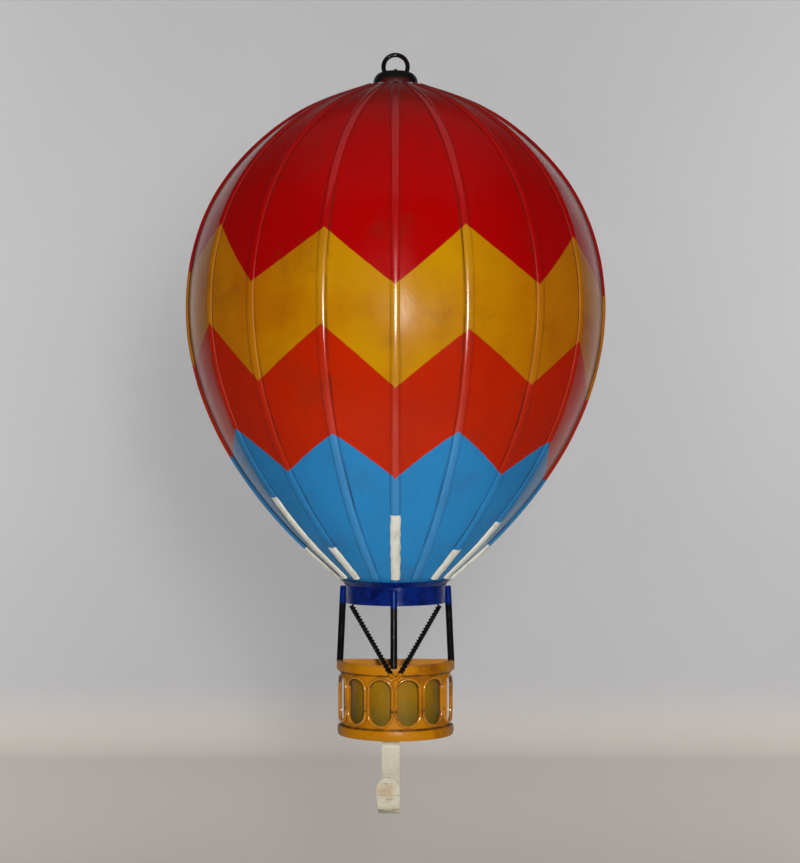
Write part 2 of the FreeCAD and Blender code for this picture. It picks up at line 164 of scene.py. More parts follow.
def wobble(point, scale, seed):
    """Smooth random number between about -1 and 1."""
    return noise.noise(Vector(point) * scale + Vector((seed, 2.3 * seed, 0.7 * seed)))


def place(obj, slot, *nodes, body="ornament"):
    if nodes:
        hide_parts(*nodes)
    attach(obj, body)
    return obj


def end_centres(node, reach=3.5 * MM):
    """Middle of a rod's lower and upper end, from its CAD node's vertices."""
    co = np.array([v.co for v in NODES[node].data.vertices])
    low, high = co[:, 2].min(), co[:, 2].max()
    lower = np.unique(co[co[:, 2] < low + reach].round(6), axis=0).mean(0)
    upper = np.unique(co[co[:, 2] > high - reach].round(6), axis=0).mean(0)
    return Vector(lower), Vector(upper)


# ---- The envelope's sections, measured on the CAD gores ----

AXIS_Y = 1.0 * MM
TOP_Z, FOOT_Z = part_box("gore_1")[1].z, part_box("gore_1")[0].z
WALL_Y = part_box("basket_back_plate")[1].y
GORES = sum(name.startswith("gore_") for name in NODES)
PROFILE_ROWS = 60


def tree_of(node):
    mesh = NODES[node].data
    faces = [tuple(p.vertices) for p in mesh.polygons]
    return BVHTree.FromPolygons([v.co.copy() for v in mesh.vertices], faces)


def measure_profile():
    """Heights, half widths and depths of the gores' outer surface, closer together near the crown."""
    side, front = tree_of("gore_1"), tree_of(f"gore_{GORES // 2}")
    rows = []
    for i in range(PROFILE_ROWS):
        share = (1 - math.cos(math.pi * i / (PROFILE_ROWS - 1))) / 2
        z = TOP_Z - 0.02 * MM + (FOOT_Z - TOP_Z + 0.04 * MM) * share
        hit_side = side.ray_cast(Vector((-1, AXIS_Y, z)), Vector((1, 0, 0)))[0]
        hit_front = front.ray_cast(Vector((-0.4 * MM, -1, z)), Vector((0, 1, 0)))[0]
        if hit_side and hit_front:
            rows.append((z, -hit_side.x, AXIS_Y - hit_front.y))
    return np.array(rows)


PROFILE = measure_profile()
ARC = np.concatenate([[0], np.cumsum(np.hypot(np.diff(PROFILE[:, 0]), np.diff(PROFILE[:, 1])))])


def smooth_through(values):
    """Cubic through the measured profile, as a function of length along it."""
    slopes = np.gradient(values, ARC)

    def at(s):
        s = min(max(s, ARC[0]), ARC[-1])
        i = min(int(np.searchsorted(ARC, s, side="right")) - 1, len(ARC) - 2)
        h = ARC[i + 1] - ARC[i]
        t = (s - ARC[i]) / h
        a, b = values[i], values[i + 1]
        return float(
            a * (1 + 2 * t) * (1 - t) ** 2 + h * slopes[i] * t * (1 - t) ** 2
            + b * t * t * (3 - 2 * t) + h * slopes[i + 1] * t * t * (t - 1)
        )

    return at


height_at, half_width_at, depth_at = [smooth_through(PROFILE[:, i]) for i in range(3)]


def length_at(z):
    """Length along the profile from the crown to height z."""
    low, high = float(ARC[0]), float(ARC[-1])
    for _ in range(40):
        middle = (low + high) / 2
        low, high = (middle, high) if height_at(middle) > z else (low, middle)
    return low


def seam_angle(number):
    """Angle round the section of a seam, read from its bead at the widest place."""
    if number in (0, GORES):
        return math.pi if number == 0 else 0.0
    widest = float(ARC[PROFILE[:, 1].argmax()])
    z = height_at(widest)
    co = np.array([v.co for v in NODES[f"seam_bead_{number + 1}"].data.vertices])
    near = co[abs(co[:, 2] - z) < 6 * MM]
    x = (near[:, 0].min() + near[:, 0].max()) / 2
    return math.acos(max(-1, min(1, x / (half_width_at(widest) + 0.75 * MM))))


SEAMS = [seam_angle(k) for k in range(GORES + 1)]


def on_surface(s, t):
    """Point, outward normal and direction across the gores, at length s and angle t."""
    a, b, z = half_width_at(s), depth_at(s), height_at(s)
    step = 0.5 * MM
    point = Vector((a * math.cos(t), AXIS_Y - b * math.sin(t), z))
    lo, hi = max(s - step, 0), min(s + step, float(ARC[-1]))
    down = Vector((
        (half_width_at(hi) - half_width_at(lo)) * math.cos(t),
        -(depth_at(hi) - depth_at(lo)) * math.sin(t),
        height_at(hi) - height_at(lo),
    ))
    across = Vector((-a * math.sin(t), -b * math.cos(t), 0)).normalized()
    normal = down.cross(across).normalized()
    if normal.dot(Vector((b * math.cos(t), -a * math.sin(t), 0))) < 0:
        normal = -normal
    return point, normal, across


# ---- Zigzag bands of paint ----

# Height, in mm, at which each band of colour ends on each seam, from the viewer's left to the right.
ZIGZAG = {
    "red": (-142.9, -112.8, -154.5, -119.3, -158.1, -117.3, -156.5, -121.6, -159.6),
    "ochre": (-208.0, -180.7, -220.6, -183.2, -225.7, -186.5, -223.3, -192.9, -232.1),
    "orange": (-271.9, -251.7, -281.2, -255.1, -285.6, -253.8, -283.2, -260.5, -288.0),
}


# ---- Materials ----


class Paint:
    """One node material, with short names for the few nodes that the finishes share."""

    def __init__(self, name, roughness=0.25, coat=0.0, metallic=0.0, specular=0.5):
        self.material = bpy.data.materials.new(name)
        self.material.use_nodes = True
        self.nodes = self.material.node_tree.nodes
        self.links = self.material.node_tree.links
        self.shader = self.nodes["Principled BSDF"]
        self.shader.inputs["Roughness"].default_value = roughness
        self.shader.inputs["Coat Weight"].default_value = coat
        self.shader.inputs["Coat Roughness"].default_value = 0.08
        self.shader.inputs["Metallic"].default_value = metallic
        self.shader.inputs["Specular IOR Level"].default_value = specular
        self.place = self.nodes.new("ShaderNodeTexCoord").outputs["Object"]

    def put(self, value, socket):
        if hasattr(value, "links"):
            self.links.new(value, socket)
        else:
            socket.default_value = value

    def noise(self, scale, detail=3.0, stretch=(1, 1, 1), rough=0.5):
        mapping = self.nodes.new("ShaderNodeMapping")
        mapping.inputs["Scale"].default_value = stretch
        self.links.new(self.place, mapping.inputs["Vector"])
        node = self.nodes.new("ShaderNodeTexNoise")
        node.inputs["Scale"].default_value = scale
        node.inputs["Detail"].default_value = detail
        node.inputs["Roughness"].default_value = rough
        self.links.new(mapping.outputs["Vector"], node.inputs["Vector"])
        return node.outputs["Fac"]

    def math(self, operation, a, b=0.0, c=0.0, clamp=False):
        node = self.nodes.new("ShaderNodeMath")
        node.operation = operation
        node.use_clamp = clamp
        for value, socket in zip((a, b, c), node.inputs):
            self.put(value, socket)
        return node.outputs[0]

    def ramp(self, value, low, high, out_low=0.0, out_high=1.0):
        """Smooth step of value from low to high."""
        node = self.nodes.new("ShaderNodeMapRange")
        node.interpolation_type = "SMOOTHSTEP"
        self.put(value, node.inputs["Value"])
        limits = {"From Min": low, "From Max": high, "To Min": out_low, "To Max": out_high}
        for name, number in limits.items():
            node.inputs[name].default_value = number
        return node.outputs["Result"]

    def mix(self, share, a, b):
        node = self.nodes.new("ShaderNodeMix")
        node.data_type = "RGBA"
        self.put(share, node.inputs["Factor"])
        for value, socket in ((a, node.inputs[6]), (b, node.inputs[7])):
            self.put((*value, 1.0) if isinstance(value, tuple) else value, socket)
        return node.outputs[2]

    def axis(self, letter):
        node = self.nodes.new("ShaderNodeSeparateXYZ")
        self.links.new(self.place, node.inputs[0])
        return node.outputs[letter]

    def attribute(self, name):
        node = self.nodes.new("ShaderNodeAttribute")
        node.attribute_name = name
        return node.outputs["Fac"]

    def bump(self, height, distance, strength=1.0, below=None):
        node = self.nodes.new("ShaderNodeBump")
        node.inputs["Strength"].default_value = strength
        node.inputs["Distance"].default_value = distance
        self.put(height, node.inputs["Height"])
        if below is not None:
            self.links.new(below, node.inputs["Normal"])
        return node.outputs["Normal"]

    def finish(self, colour, roughness=None, normal=None):
        self.put(colour, self.shader.inputs["Base Color"])
        if roughness is not None:
            self.put(roughness, self.shader.inputs["Roughness"])
        if normal is not None:
            self.links.new(normal, self.shader.inputs["Normal"])
        return self.material


# Each colour's darker partner serves random patches, and in the zigzag bands also the painted shade towards
# the sides.
RED, RED_DARK = (0.355, 0.0005, 0.0005), (0.29, 0.0005, 0.0005)
OCHRE, OCHRE_DARK = (0.48, 0.222, 0.0006), (0.33, 0.093, 0.0005)
ORANGE, ORANGE_DARK = (0.42, 0.0155, 0.0004), (0.32, 0.009, 0.0004)
SKY, SKY_DARK = (0.019, 0.192, 0.45), (0.014, 0.142, 0.335)
NAVY = (0.0006, 0.013, 0.15)
YELLOW, YELLOW_DARK = (0.46, 0.172, 0.0008), (0.22, 0.066, 0.0008)
CREAM, CREAM_DIRTY = (0.62, 0.63, 0.57), (0.33, 0.27, 0.17)
BLACK = (0.0035, 0.0035, 0.004)
LINE_BLACK = (0.022, 0.014, 0.008)
CROWN_SHADE = (0.11, 0.012, 0.009)
BROWN_GRIME = (0.05, 0.02, 0.008)

EDGE_WAVER = 0.9 * MM  # how far the painted edges of the bands wander
SHADE_FROM, SHADE_TO = 30 * MM, 105 * MM  # distances from the middle over which the colours darken, a painted shade towards the sides
CROWN_REACH = 30 * MM  # painted shade below the cap
COLLAR_BLUE = 6.2 * MM  # the collar's blue runs this far up the gores


def banded_enamel(name, roughness, specular, line):
    """Enamel in four zigzag bands. Each mesh carries the heights of their edges and how near a seam is."""
    paint = Paint(name, roughness=roughness, specular=specular)
    z = paint.math("ADD", paint.axis("Z"), paint.math("MULTIPLY", paint.noise(160.0, 2.0), EDGE_WAVER))
    patch = paint.ramp(paint.noise(9.0, 4.0), 0.47, 0.72, 0.0, 0.75)
    streaks = paint.ramp(paint.noise(55.0, 4.0, stretch=(1, 1, 0.3)), 0.35, 0.8, 0.0, 0.2)
    patch = paint.math("ADD", patch, streaks)
    # Painted shade: the bands darken towards the sides, away from the middle, on top of the random patches
    # and streaks.
    outer = paint.ramp(paint.math("ABSOLUTE", paint.axis("X")), SHADE_FROM, SHADE_TO, 0.0, 0.75)
    patch = paint.math("ADD", patch, outer, clamp=True)
    dark_spots = paint.ramp(paint.noise(30.0, 5.0, rough=0.65), 0.52, 0.75, 0.0, 0.22)
    pairs = ((SKY, SKY_DARK), (ORANGE, ORANGE_DARK), (OCHRE, OCHRE_DARK), (RED, RED_DARK))
    shades = [paint.mix(patch, *pair) for pair in pairs]
    colour = shades[0]
    lines = 0.0
    for shade, band in zip(shades[1:], ("orange", "ochre", "red")):
        above = paint.math("SUBTRACT", z, paint.attribute(f"edge_{band}"))
        colour = paint.mix(paint.ramp(above, -0.0003, 0.0003), colour, shade)
        near = paint.ramp(paint.math("ABSOLUTE", above), 0.0001, 0.0007, line, 0.0)
        lines = paint.math("MAXIMUM", lines, near)
    worn = paint.ramp(paint.noise(70.0, 3.0), 0.3, 0.6, 0.35, 1.0)
    colour = paint.mix(paint.math("MULTIPLY", lines, worn), colour, LINE_BLACK)
    blotches = paint.ramp(paint.noise(38.0, 4.0), 0.3, 0.62, 0.25, 1.0)
    groove_dark = paint.math("MULTIPLY", paint.attribute("groove"), blotches)
    colour = paint.mix(paint.math("MULTIPLY", groove_dark, 0.9), colour, LINE_BLACK)
    # Painted shade: the colours darken towards the cap.
    crown = paint.math("ADD", z, paint.math("MULTIPLY", paint.noise(60.0, 3.0), 0.008))
    crown = paint.ramp(crown, TOP_Z - CROWN_REACH, TOP_Z + 4 * MM, 0.0, 0.75)
    colour = paint.mix(crown, colour, CROWN_SHADE)
    mouth = paint.math("ADD", z, paint.math("MULTIPLY", paint.noise(75.0, 2.0), 0.006))
    blue_top = FOOT_Z + COLLAR_BLUE
    colour = paint.mix(paint.ramp(mouth, blue_top, blue_top + 1.2 * MM, 1.0, 0.0), colour, NAVY)
    colour = paint.mix(dark_spots, colour, BROWN_GRIME)
    chips = paint.ramp(paint.noise(330.0, 3.0, rough=0.6), 0.735, 0.76, 0.0, 0.8)
    colour = paint.mix(chips, colour, LINE_BLACK)
    rough = paint.ramp(paint.noise(26.0, 3.0), 0.3, 0.75, roughness * 0.8, roughness * 1.35)
    dents = paint.bump(paint.noise(22.0, 2.0), 0.0011, 0.3)
    skin = paint.bump(paint.noise(420.0, 2.0), 0.00009, 0.35, dents)
    return paint.finish(colour, rough, skin)


def enamel(
    name, base, dark, roughness=0.25, coat=0.0, scale=60.0, groove=False, specular=0.5, dark_lines_at=(), lumps=1.0
):
    """Patchy enamel, darker in the grooves of the mesh (on the rims these include a painted shadow under the
    top of each opening) and in lines round the given heights.
    """
    paint = Paint(name, roughness=roughness, coat=coat, specular=specular)
    patch = paint.ramp(paint.noise(scale, 4.0, rough=0.6), 0.42, 0.75)
    colour = paint.mix(patch, base, dark)
    if groove:
        # Darker where the mesh's groove attribute is set; on the rims this includes a painted shadow.
        groove_dark = paint.math("MULTIPLY", paint.attribute("groove"), 0.85)
        colour = paint.mix(groove_dark, colour, (0.03, 0.014, 0.004))
    # Dark lines round each given height, where the bands meet the wall.
    for height in dark_lines_at:
        away = paint.math("ABSOLUTE", paint.math("SUBTRACT", paint.axis("Z"), height))
        line = paint.ramp(away, 0.0003, 0.0011, 0.85, 0.0)
        worn = paint.ramp(paint.noise(110.0, 3.0), 0.35, 0.6, 0.4, 1.0)
        colour = paint.mix(paint.math("MULTIPLY", line, worn), colour, (0.035, 0.015, 0.004))
    rough = paint.ramp(paint.noise(scale * 1.5, 3.0), 0.3, 0.75, roughness * 0.8, roughness * 1.5)
    runs = paint.bump(paint.noise(scale * 2.5, 2.0, stretch=(1, 1, 0.5)), 0.0005, 0.5 * lumps)
    return paint.finish(colour, rough, paint.bump(paint.noise(700.0, 2.0), 0.0001, 0.4 * lumps, runs))


def stock_enamel(name, upper_z, lower_z):
    """Black on a rod or wire, with the collar's blue above upper_z and the basket's yellow below lower_z."""
    paint = Paint(name, roughness=0.24, specular=0.08)
    z = paint.math("ADD", paint.axis("Z"), paint.math("MULTIPLY", paint.noise(260.0, 2.0), 0.003))
    colour = paint.mix(paint.ramp(paint.noise(190.0, 4.0), 0.5, 0.8), BLACK, (0.009, 0.008, 0.007))
    colour = paint.mix(paint.ramp(z, upper_z - 0.0004, upper_z + 0.0004), colour, NAVY)
    colour = paint.mix(paint.ramp(z, lower_z - 0.0004, lower_z + 0.0004, 1.0, 0.0), colour, YELLOW)
    rough = paint.ramp(paint.noise(120.0, 3.0), 0.3, 0.7, 0.16, 0.3)
    return paint.finish(colour, rough, paint.bump(paint.noise(340.0, 3.0), 0.0004, 0.4))


WORN_X = -7.5 * MM  # middle of the hook's bare patch, left of its own middle
WORN_Y = -47.25 * MM  # only what stands this far forward is worn


def cream_paint(name, clean=CREAM, worn_z=None):
    """Uneven brushed cream with dirty streaks; round worn_z a bare brown patch and scrapes, and dark spots
    below it, thickest at the bottom bend.
    """
    paint = Paint(name, roughness=0.5)
    streaks = paint.noise(70.0, 5.0, stretch=(2.2, 2.2, 0.45), rough=0.65)
    colour = paint.mix(paint.ramp(streaks, 0.48, 0.8, 0.0, 0.7), clean, CREAM_DIRTY)
    specks = paint.ramp(paint.noise(260.0, 3.0), 0.66, 0.74, 0.0, 0.8)
    colour = paint.mix(specks, colour, (0.19, 0.13, 0.08))
    if worn_z is not None:
        away = paint.math("ABSOLUTE", paint.math("SUBTRACT", paint.axis("Z"), worn_z))
        away = paint.math("ADD", away, paint.math("MULTIPLY", paint.noise(120.0, 3.0), 0.012))
        aside = paint.math("ABSOLUTE", paint.math("SUBTRACT", paint.axis("X"), WORN_X))
        away = paint.math("MAXIMUM", away, paint.math("ADD", aside, 0.0045))
        forward = paint.ramp(paint.axis("Y"), WORN_Y + 1.25 * MM, WORN_Y - 1.25 * MM)
        bare = paint.math("MULTIPLY", paint.ramp(away, 0.0065, 0.0135, 0.7, 0.0), forward)
        colour = paint.mix(bare, colour, (0.37, 0.235, 0.125))
        scrape = paint.ramp(paint.noise(130.0, 2.0, stretch=(0.35, 1, 3.2)), 0.6, 0.68, 0.0, 0.6)
        fewer_above = paint.ramp(paint.axis("Z"), worn_z - 2 * MM, worn_z + 12 * MM, 1.0, 0.15)
        scrape = paint.math("MULTIPLY", scrape, fewer_above)
        colour = paint.mix(scrape, colour, (0.12, 0.08, 0.045))
        # Dark spots, thickest at the bottom bend of the hook.
        dark_spots = paint.ramp(paint.noise(210.0, 4.0, rough=0.65), 0.56, 0.7, 0.0, 0.75)
        low = paint.ramp(paint.axis("Z"), worn_z - 0.012, worn_z - 0.006, 1.0, 0.25)
        colour = paint.mix(paint.math("MULTIPLY", dark_spots, low), colour, (0.07, 0.045, 0.025))
    rough = paint.ramp(streaks, 0.3, 0.7, 0.38, 0.6)
    return paint.finish(colour, rough, paint.bump(streaks, 0.0006, 0.7))


def shaded_liner_paint(name, low_z, high_z):
    """Olive that stands in for the shaded inside of the basket (painted shade), greyer and darker towards the
    bottom, the grey a painted reflection of the floor, with darker random patches.
    """
    paint = Paint(name, roughness=0.5, specular=0.1)
    z = paint.axis("Z")
    colour = paint.mix(paint.ramp(z, low_z, high_z), (0.185, 0.12, 0.010), (0.32, 0.155, 0.001))
    colour = paint.mix(paint.ramp(paint.noise(90.0, 4.0), 0.45, 0.8, 0.0, 0.6), colour, (0.12, 0.09, 0.02))
    rough = paint.ramp(paint.noise(80.0, 3.0), 0.3, 0.7, 0.35, 0.6)
    return paint.finish(colour, rough, paint.bump(paint.noise(200.0), 0.0004, 0.5))


ENVELOPE = banded_enamel("envelope_enamel", roughness=0.2, specular=0.075, line=0.12)
ENVELOPE.node_tree.nodes["Principled BSDF"].inputs["Sheen Weight"].default_value = 0.12
ENVELOPE.node_tree.nodes["Principled BSDF"].inputs["Sheen Roughness"].default_value = 0.35
BEAD_ENAMEL = banded_enamel("bead_enamel", roughness=0.2, specular=0.5, line=0.1)
DULL_BEAD_ENAMEL = banded_enamel("dull_bead_enamel", roughness=0.38, specular=0.12, line=0.1)

# ---- Gores ----

GORE_ROWS = 170
GORE_COLUMNS = 23
SHEET = 0.8 * MM
FLATNESS = 0.5  # a gore lies this share of the way from the section's curve to the line between its seams


def stations(top_z, foot_z, count):
    """Lengths along the profile, closer together near the crown."""
    first, last = length_at(top_z), length_at(foot_z)
    return [first + (last - first) * (i / (count - 1)) ** 1.12 for i in range(count)]


def band_edge(band, share):
    """Height of a band's lower edge at a place across the envelope: 0 is its left seam, GORES its right."""
    k = min(max(int(share), 0), GORES - 1)
    left, right = ZIGZAG[band][k], ZIGZAG[band][k + 1]
    return (left + (right - left) * (share - k)) * MM


BEAD_HALF_WIDTH, OUTLINE_HALF_WIDTH = 3.1 * MM, 2.4 * MM  # over a seam, and along the wall
BEAD_HEIGHT, OUTLINE_HEIGHT = 1.25 * MM, 2.3 * MM


def bead_half_width(number, s):
    full = OUTLINE_HALF_WIDTH if number in (0, GORES) else BEAD_HALF_WIDTH
    return full * (0.66 + 0.34 * min(1.0, half_width_at(s) / 0.060))


def share_at(point, s):
    """Place of a point across the envelope, seen from the front: 0 at its left seam, GORES at its right."""
    x = min(max(point.x / half_width_at(s), -0.9999), 0.9999)
    k = next(k for k in range(GORES) if x <= math.cos(SEAMS[k + 1]))
    first, last = math.cos(SEAMS[k]), math.cos(SEAMS[k + 1])
    return k + min(max((x - first) / (last - first), 0), 0.9999)


def add_attribute(obj, name, values):
    attribute = obj.data.attributes.new(name, "FLOAT", "POINT")
    attribute.data.foreach_set("value", np.array(values, np.float32))


def add_bands(obj, shares):
    for band in ZIGZAG:
        add_attribute(obj, f"edge_{band}", [band_edge(band, share) for share in shares])


def gore_point(number, s, t):
    """Point and normal of a gore's outer surface, flatter across than the envelope's section."""
    point, normal, _ = on_surface(s, t)
    share = (SEAMS[number] - t) / (SEAMS[number] - SEAMS[number + 1])
    if not 0 < share < 1:
        return point, normal
    first, last = [on_surface(s, SEAMS[k])[0] for k in (number, number + 1)]
    point = point.lerp(first.lerp(last, share), FLATNESS)
    return point + normal * 0.3 * MM * math.sin(math.pi * share) * wobble(point, 17, number * 3.1), normal


def make_gore(number):
    outer, inner, shares, groove = [], [], [], []
    gap = 0.05 * MM
    for s in stations(TOP_Z, FOOT_Z, GORE_ROWS):
        a, b = half_width_at(s), depth_at(s)
        back = math.asin(min(1, (WALL_Y - AXIS_Y) / b))
        left = math.pi + back if number == 0 else SEAMS[number] - gap / max(a, b)
        right = -back if number == GORES - 1 else SEAMS[number + 1] + gap / max(a, b)
        wide = (left - right) * max(a, b)
        for c in range(GORE_COLUMNS):
            f = c / (GORE_COLUMNS - 1)
            f = f - 0.09 * math.sin(2 * math.pi * f)  # columns crowd towards the seams
            t = left + (right - left) * f
            point, normal = gore_point(number, s, t)
            outer.append(point)
            under = point - normal * SHEET
            if c in (0, GORE_COLUMNS - 1):
                under.y = min(under.y, WALL_Y)
            inner.append(under)
            shares.append(share_at(point, s))
            edge_gap = min(f, 1 - f) * wide
            inner_side = (f > 0.5) == (number < GORES / 2)  # the side nearer the middle of the envelope
            near = max(0.0, 1 - abs(edge_gap - bead_half_width(number, s) - 0.1 * MM) / (0.9 * MM))
            groove.append(near * (0.3 if inner_side else 1.0))
    rows, columns, half = GORE_ROWS, GORE_COLUMNS, len(outer)
    faces = grid_faces(rows, columns)
    faces += [tuple(half + i for i in reversed(face)) for face in grid_faces(rows, columns)]
    for r in range(rows - 1):
        for c in (0, columns - 1):
            a, b = r * columns + c, (r + 1) * columns + c
            faces.append((a, b, half + b, half + a))
    for c in range(columns - 1):
        for r in (0, rows - 1):
            a, b = r * columns + c, r * columns + c + 1
            faces.append((a, b, half + b, half + a))
    obj = tidy_normals(new_mesh(f"gore_panel_{number + 1}", outer + inner, faces))
    add_bands(obj, shares * 2)
    add_attribute(obj, "groove", groove * 2)
    sharpen(obj, 40)
    obj.data.materials.append(ENVELOPE)
    return place(obj, "envelope_enamel", f"gore_{number + 1}")


for number in range(GORES):
    make_gore(number)

# ---- Beads and the strips on their lower ends ----

BEAD_ROWS = 190
BEAD_SIDES = 11


def bead_ring(number, s, grow=0.0, ragged=0.0):
    """Half-round section of a bead, with a foot that curls in under its sides."""
    point, normal, across = on_surface(s, SEAMS[number])
    uneven = 1 + 0.045 * wobble(point, 60, number * 1.7)
    half = bead_half_width(number, s) * uneven + grow
    high = (OUTLINE_HEIGHT if number in (0, GORES) else BEAD_HEIGHT) * uneven + grow
    ring = []
    for i in range(BEAD_SIDES):
        f = math.pi * i / (BEAD_SIDES - 1)
        wide = half * math.cos(f)
        if ragged:
            wide += ragged * wobble(point, 170, number + (40 if f > math.pi / 2 else 0)) * abs(math.cos(f))
        ring.append(point + normal * (0.12 * MM + high * math.sin(f) ** 0.85) + across * wide)
    ring += [point + normal * 0.1 * MM - across * half * 0.5, point + normal * 0.1 * MM + across * half * 0.5]
    return ring


def make_bead(number):
    node = f"seam_bead_{number + 1}"
    low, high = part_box(node)
    places = stations(high.z - 2.4 * MM, low.z + 1.4 * MM, BEAD_ROWS)
    rings = [bead_ring(number, s) for s in places]
    obj = tube(f"bead_{number + 1}", rings)
    shares = []
    on_wall = number in (0, GORES)
    for s, ring in zip(places, rings):
        middle = on_surface(s, SEAMS[number])[0]
        for point in ring:
            shares.append(float(number) if on_wall else share_at(middle + (point - middle) * 1.25, s))
    add_bands(obj, shares)
    foot = [1.0 if i in (0, BEAD_SIDES - 1) else 0.0 for ring in rings for i in range(len(ring))]
    add_attribute(obj, "groove", foot)
    sharpen(obj, 55)
    obj.data.materials.append(BEAD_ENAMEL if abs(number - GORES / 2) < 1.5 else DULL_BEAD_ENAMEL)
    return place(obj, "bead_enamel", node)


for number in range(GORES + 1):
    make_bead(number)

CREAM_STRIP = cream_paint("strip_cream")


def make_sleeve(number):
    """Brushed cream strip over the end of a bead, with ragged sides."""
    node = f"bead_sleeve_{number + 1}"
    s_top = length_at(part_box(node)[1].z - 0.6 * MM)
    s_foot = length_at(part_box(f"seam_bead_{number + 1}")[0].z + 1.4 * MM)
    rings = []
    rows = 46
    for i in range(rows):
        s = s_top + (s_foot - s_top) * i / (rows - 1)
        rings.append(bead_ring(number, s, grow=0.42 * MM * min(1, (i + 1.2) / 3), ragged=0.55 * MM))
    obj = sharpen(tube(f"strip_{number + 1}", rings), 60)
    obj.data.materials.append(CREAM_STRIP)
    return place(obj, "cream_paint", node)


for number in range(GORES + 1):
    if f"bead_sleeve_{number + 1}" in NODES:
        make_sleeve(number)

# ---- Crown: cap, eye plate and ring ----

BLACK_ENAMEL = enamel(
    "black_enamel", BLACK, (0.02, 0.004, 0.003), roughness=0.12, scale=110.0, specular=0.16, lumps=0.3
)


def cap_paint(low_z, high_z):
    """Black, with red brushed over the middle of the lower front."""
    paint = Paint("cap_enamel", roughness=0.45, specular=0.12)
    colour = paint.mix(paint.ramp(paint.noise(110.0, 4.0), 0.45, 0.8), BLACK, (0.02, 0.006, 0.004))
    z = paint.math("ADD", paint.axis("Z"), paint.math("MULTIPLY", paint.noise(240.0, 3.0), 0.003))
    middle = paint.ramp(paint.math("ABSOLUTE", paint.axis("X")), 0.0075, 0.0115, 1.0, 0.0)
    red = paint.math("MULTIPLY", middle, paint.ramp(z, low_z + 0.002, high_z - 0.003, 0.9, 0.0))
    colour = paint.mix(red, colour, (0.075, 0.008, 0.006))
    return paint.finish(colour, None, paint.bump(paint.noise(300.0), 0.0003, 0.5))


CAP_ENAMEL = cap_paint(*[corner.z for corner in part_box("crown_cap")])


def make_ring():
    """Ring of thick wire with an uneven coat of paint."""
    low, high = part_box("hanging_ring")
    centre = (low + high) / 2
    wire = (high.y - low.y) / 2
    radius = (high.x - low.x) / 2 - wire
    turns, sides = 96, 20
    points = []
    for i in range(turns):
        a = 2 * math.pi * i / turns
        for j in range(sides):
            f = 2 * math.pi * j / sides
            lump = wobble((math.cos(a), math.sin(a), 0), 2.6, 5.0) * 0.05
            lump += wobble((math.cos(a) * 3, math.sin(a) * 3, f), 2.0, 9.0) * 0.03
            r = wire * (0.94 + lump)
            out = radius + r * math.cos(f)
            points.append(centre + Vector((out * math.cos(a), r * math.sin(f), out * math.sin(a))))
    obj = tidy_normals(new_mesh("wire_ring", points, closed_faces(turns, sides)))
    obj.data.materials.append(BLACK_ENAMEL)
    return place(obj, "black_enamel", "hanging_ring", body="ring")


make_ring()

NODE_FINISHES = {"crown_cap": CAP_ENAMEL, "ring_lug": BLACK_ENAMEL}

# ---- Collar ----

BLUE_ENAMEL = enamel("blue_enamel", NAVY, (0.0006, 0.0045, 0.05), roughness=0.16, scale=120.0, specular=0.3)
NODE_FINISHES["mouth_collar"] = BLUE_ENAMEL

# ---- Rods and stays ----

COLLAR_LOW, COLLAR_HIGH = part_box("mouth_collar")
BASKET_LOW, BASKET_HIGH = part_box("basket_wall")
ROD_PAINT = stock_enamel("rod_enamel", COLLAR_LOW.z + 0.4 * MM, BASKET_HIGH.z + 0.2 * MM)
FRONT_ROD_PAINT = stock_enamel("front_rod_enamel", COLLAR_LOW.z + 0.4 * MM, BASKET_LOW.z - 1)
STAY_PAINT = stock_enamel("stay_enamel", COLLAR_HIGH.z + 1, BASKET_HIGH.z - 3.4 * MM)


def frame_along(way):
    side = way.cross(Vector((0, 1, 0)))
    side = side.normalized() if side.length > 1e-6 else Vector((1, 0, 0))
    return side, way.cross(side).normalized()


def path_through(points, step, passes):
    """Evenly stepped line through points, with its bends eased."""
    line = []
    for a, b in zip(points, points[1:]):
        steps = max(2, int((b - a).length / step))
        line += [a.lerp(b, i / steps) for i in range(steps)]
    line.append(points[-1])
    for _ in range(passes):
        line = [line[0]] + [(p + q * 2 + r) / 4 for p, q, r in zip(line, line[1:], line[2:])] + [line[-1]]
    return line


def way_at(line, i):
    return (line[min(i + 1, len(line) - 1)] - line[max(i - 1, 0)]).normalized()


def circle_round(centre, way, radius, sides):
    u, v = frame_along(way)
    turns = [2 * math.pi * k / sides for k in range(sides)]
    return [centre + (u * math.cos(a) + v * math.sin(a)) * radius for a in turns]


def make_rod(node, radius, paint, *bends):
    """Slightly uneven round rod with eased ends."""
    foot, top = end_centres(node)
    line = path_through([foot, *bends, top], 1.2 * MM, 3)
    ease = 0.6 * MM
    for end, inward in ((0, way_at(line, 0)), (-1, -way_at(line, len(line) - 1))):
        extra = [line[end] + inward * ease * 0.3, line[end] + inward * ease]
        line = line[:1] + extra + line[1:] if end == 0 else line[:-1] + extra[::-1] + line[-1:]
    rings = []
    for i, centre in enumerate(line):
        near = min((centre - line[0]).length, (centre - line[-1]).length)
        shrink = 1 - 0.28 * max(0, 1 - near / ease) ** 2
        r = radius * shrink * (0.985 + 0.015 * wobble(centre, 90, 3))
        rings.append(circle_round(centre, way_at(line, i), r, 24))
    obj = sharpen(tube(node + "_stock", rings), 50)
    obj.data.materials.append(paint)
    return place(obj, "black_enamel", node)


ROD_RADIUS = (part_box("left_rod")[1].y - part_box("left_rod")[0].y) / 2
for node in ("left_rod", "right_rod"):
    foot = end_centres(node)[0]
    make_rod(node, ROD_RADIUS, ROD_PAINT, Vector((foot.x, foot.y, BASKET_HIGH.z)))
make_rod("front_rod", ROD_RADIUS, FRONT_ROD_PAINT)


